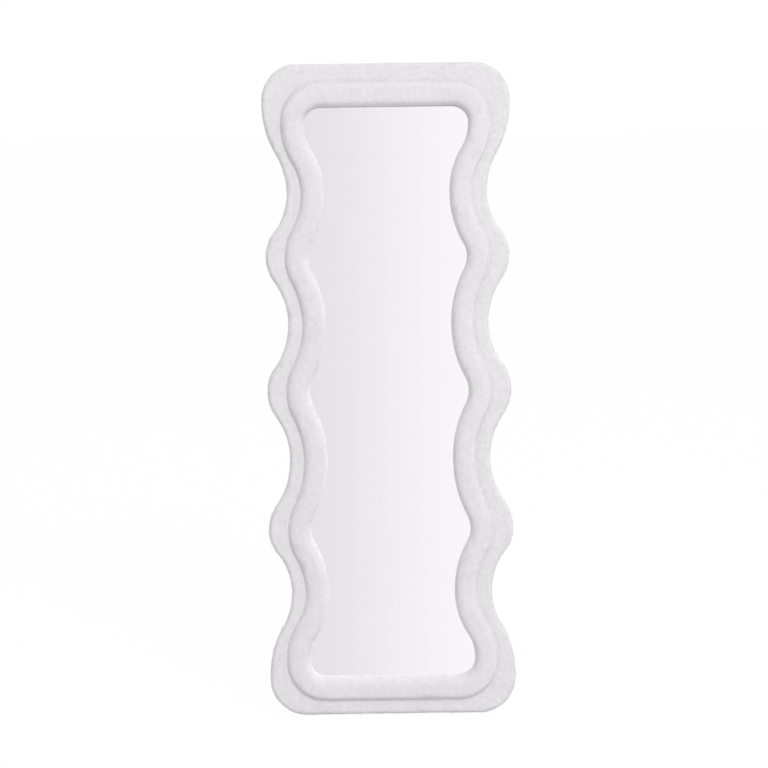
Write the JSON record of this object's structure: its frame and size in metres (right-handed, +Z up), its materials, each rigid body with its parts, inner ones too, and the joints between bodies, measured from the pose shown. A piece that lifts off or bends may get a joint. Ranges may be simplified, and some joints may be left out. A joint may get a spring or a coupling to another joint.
{
  "type": "floor mirror",
  "caption": "Full-length floor mirror with a wavy plush-covered padded frame in two tiers, leaning back on a fold-out tube stand, with hanging rings behind.",
  "frame": {"origin": "on the floor, on the centre line, midway between the front of the roll and the back of the stand's foot", "axes": "+X to the right seen from the front, +Y to the back, +Z up; the mirror leans back from +Z"},
  "size_m": [0.61, 0.316, 1.5843],
  "materials": {
    "plush": "matte",
    "foam": "matte",
    "filler_foam": "matte",
    "board": "matte",
    "hardboard": "satin",
    "mirror": "polished",
    "film": "satin",
    "zinc": "satin",
    "white_coat": "satin",
    "nylon": "satin",
    "cap_plastic": "matte",
    "pale_rubber": "matte"
  },
  "bodies": {
    "mirror_panel": {"base_frame": "board", "roll_core": "board", "roll_core_screws": "zinc", "tier_padding": "foam", "roll_padding": "foam", "tier_cover": "plush", "roll_cover": "plush", "mirror_glass": "mirror", "safety_film": "film", "filler_sheet": "filler_foam", "back_panel": "hardboard", "back_panel_screws": "zinc", "cover_staples": "zinc", "hinge_bracket_screws": "zinc", "hanger_screws": "zinc", "hinge_bracket_left": "white_coat", "hinge_bracket_right": "white_coat", "pivot_bolt_left": "zinc", "pivot_bolt_right": "zinc", "pivot_nut_left": "zinc", "pivot_nut_right": "zinc", "hanger_strap_left": "zinc", "hanger_strap_right": "zinc", "foot_pad_left": "pale_rubber", "foot_pad_right": "pale_rubber"},
    "stand": {"stand_tube": "white_coat", "stand_bush_left": "nylon", "stand_bush_right": "nylon", "stand_plug_left": "cap_plastic", "stand_plug_right": "cap_plastic", "stand_sleeve_left": "pale_rubber", "stand_sleeve_right": "pale_rubber"},
    "hanger_ring_left": {"hanger_ring_left": "zinc"},
    "hanger_ring_right": {"hanger_ring_right": "zinc"}
  },
  "joints": [
    {"name": "stand_fold", "type": "hinge", "parent": "mirror_panel", "child": "stand", "pos_m": [0, 0.04948, 0.93875], "axis": [-1, 0, 0], "range_deg": [0, 15]},
    {"name": "hanger_ring_left_swing", "type": "hinge", "parent": "mirror_panel", "child": "hanger_ring_left", "pos_m": [-0.203, 0.09139, 1.28931], "axis": [1, 0, 0], "range_deg": [-8, 160]},
    {"name": "hanger_ring_right_swing", "type": "hinge", "parent": "mirror_panel", "child": "hanger_ring_right", "pos_m": [0.203, 0.09139, 1.28931], "axis": [1, 0, 0], "range_deg": [-8, 160]}
  ]
}
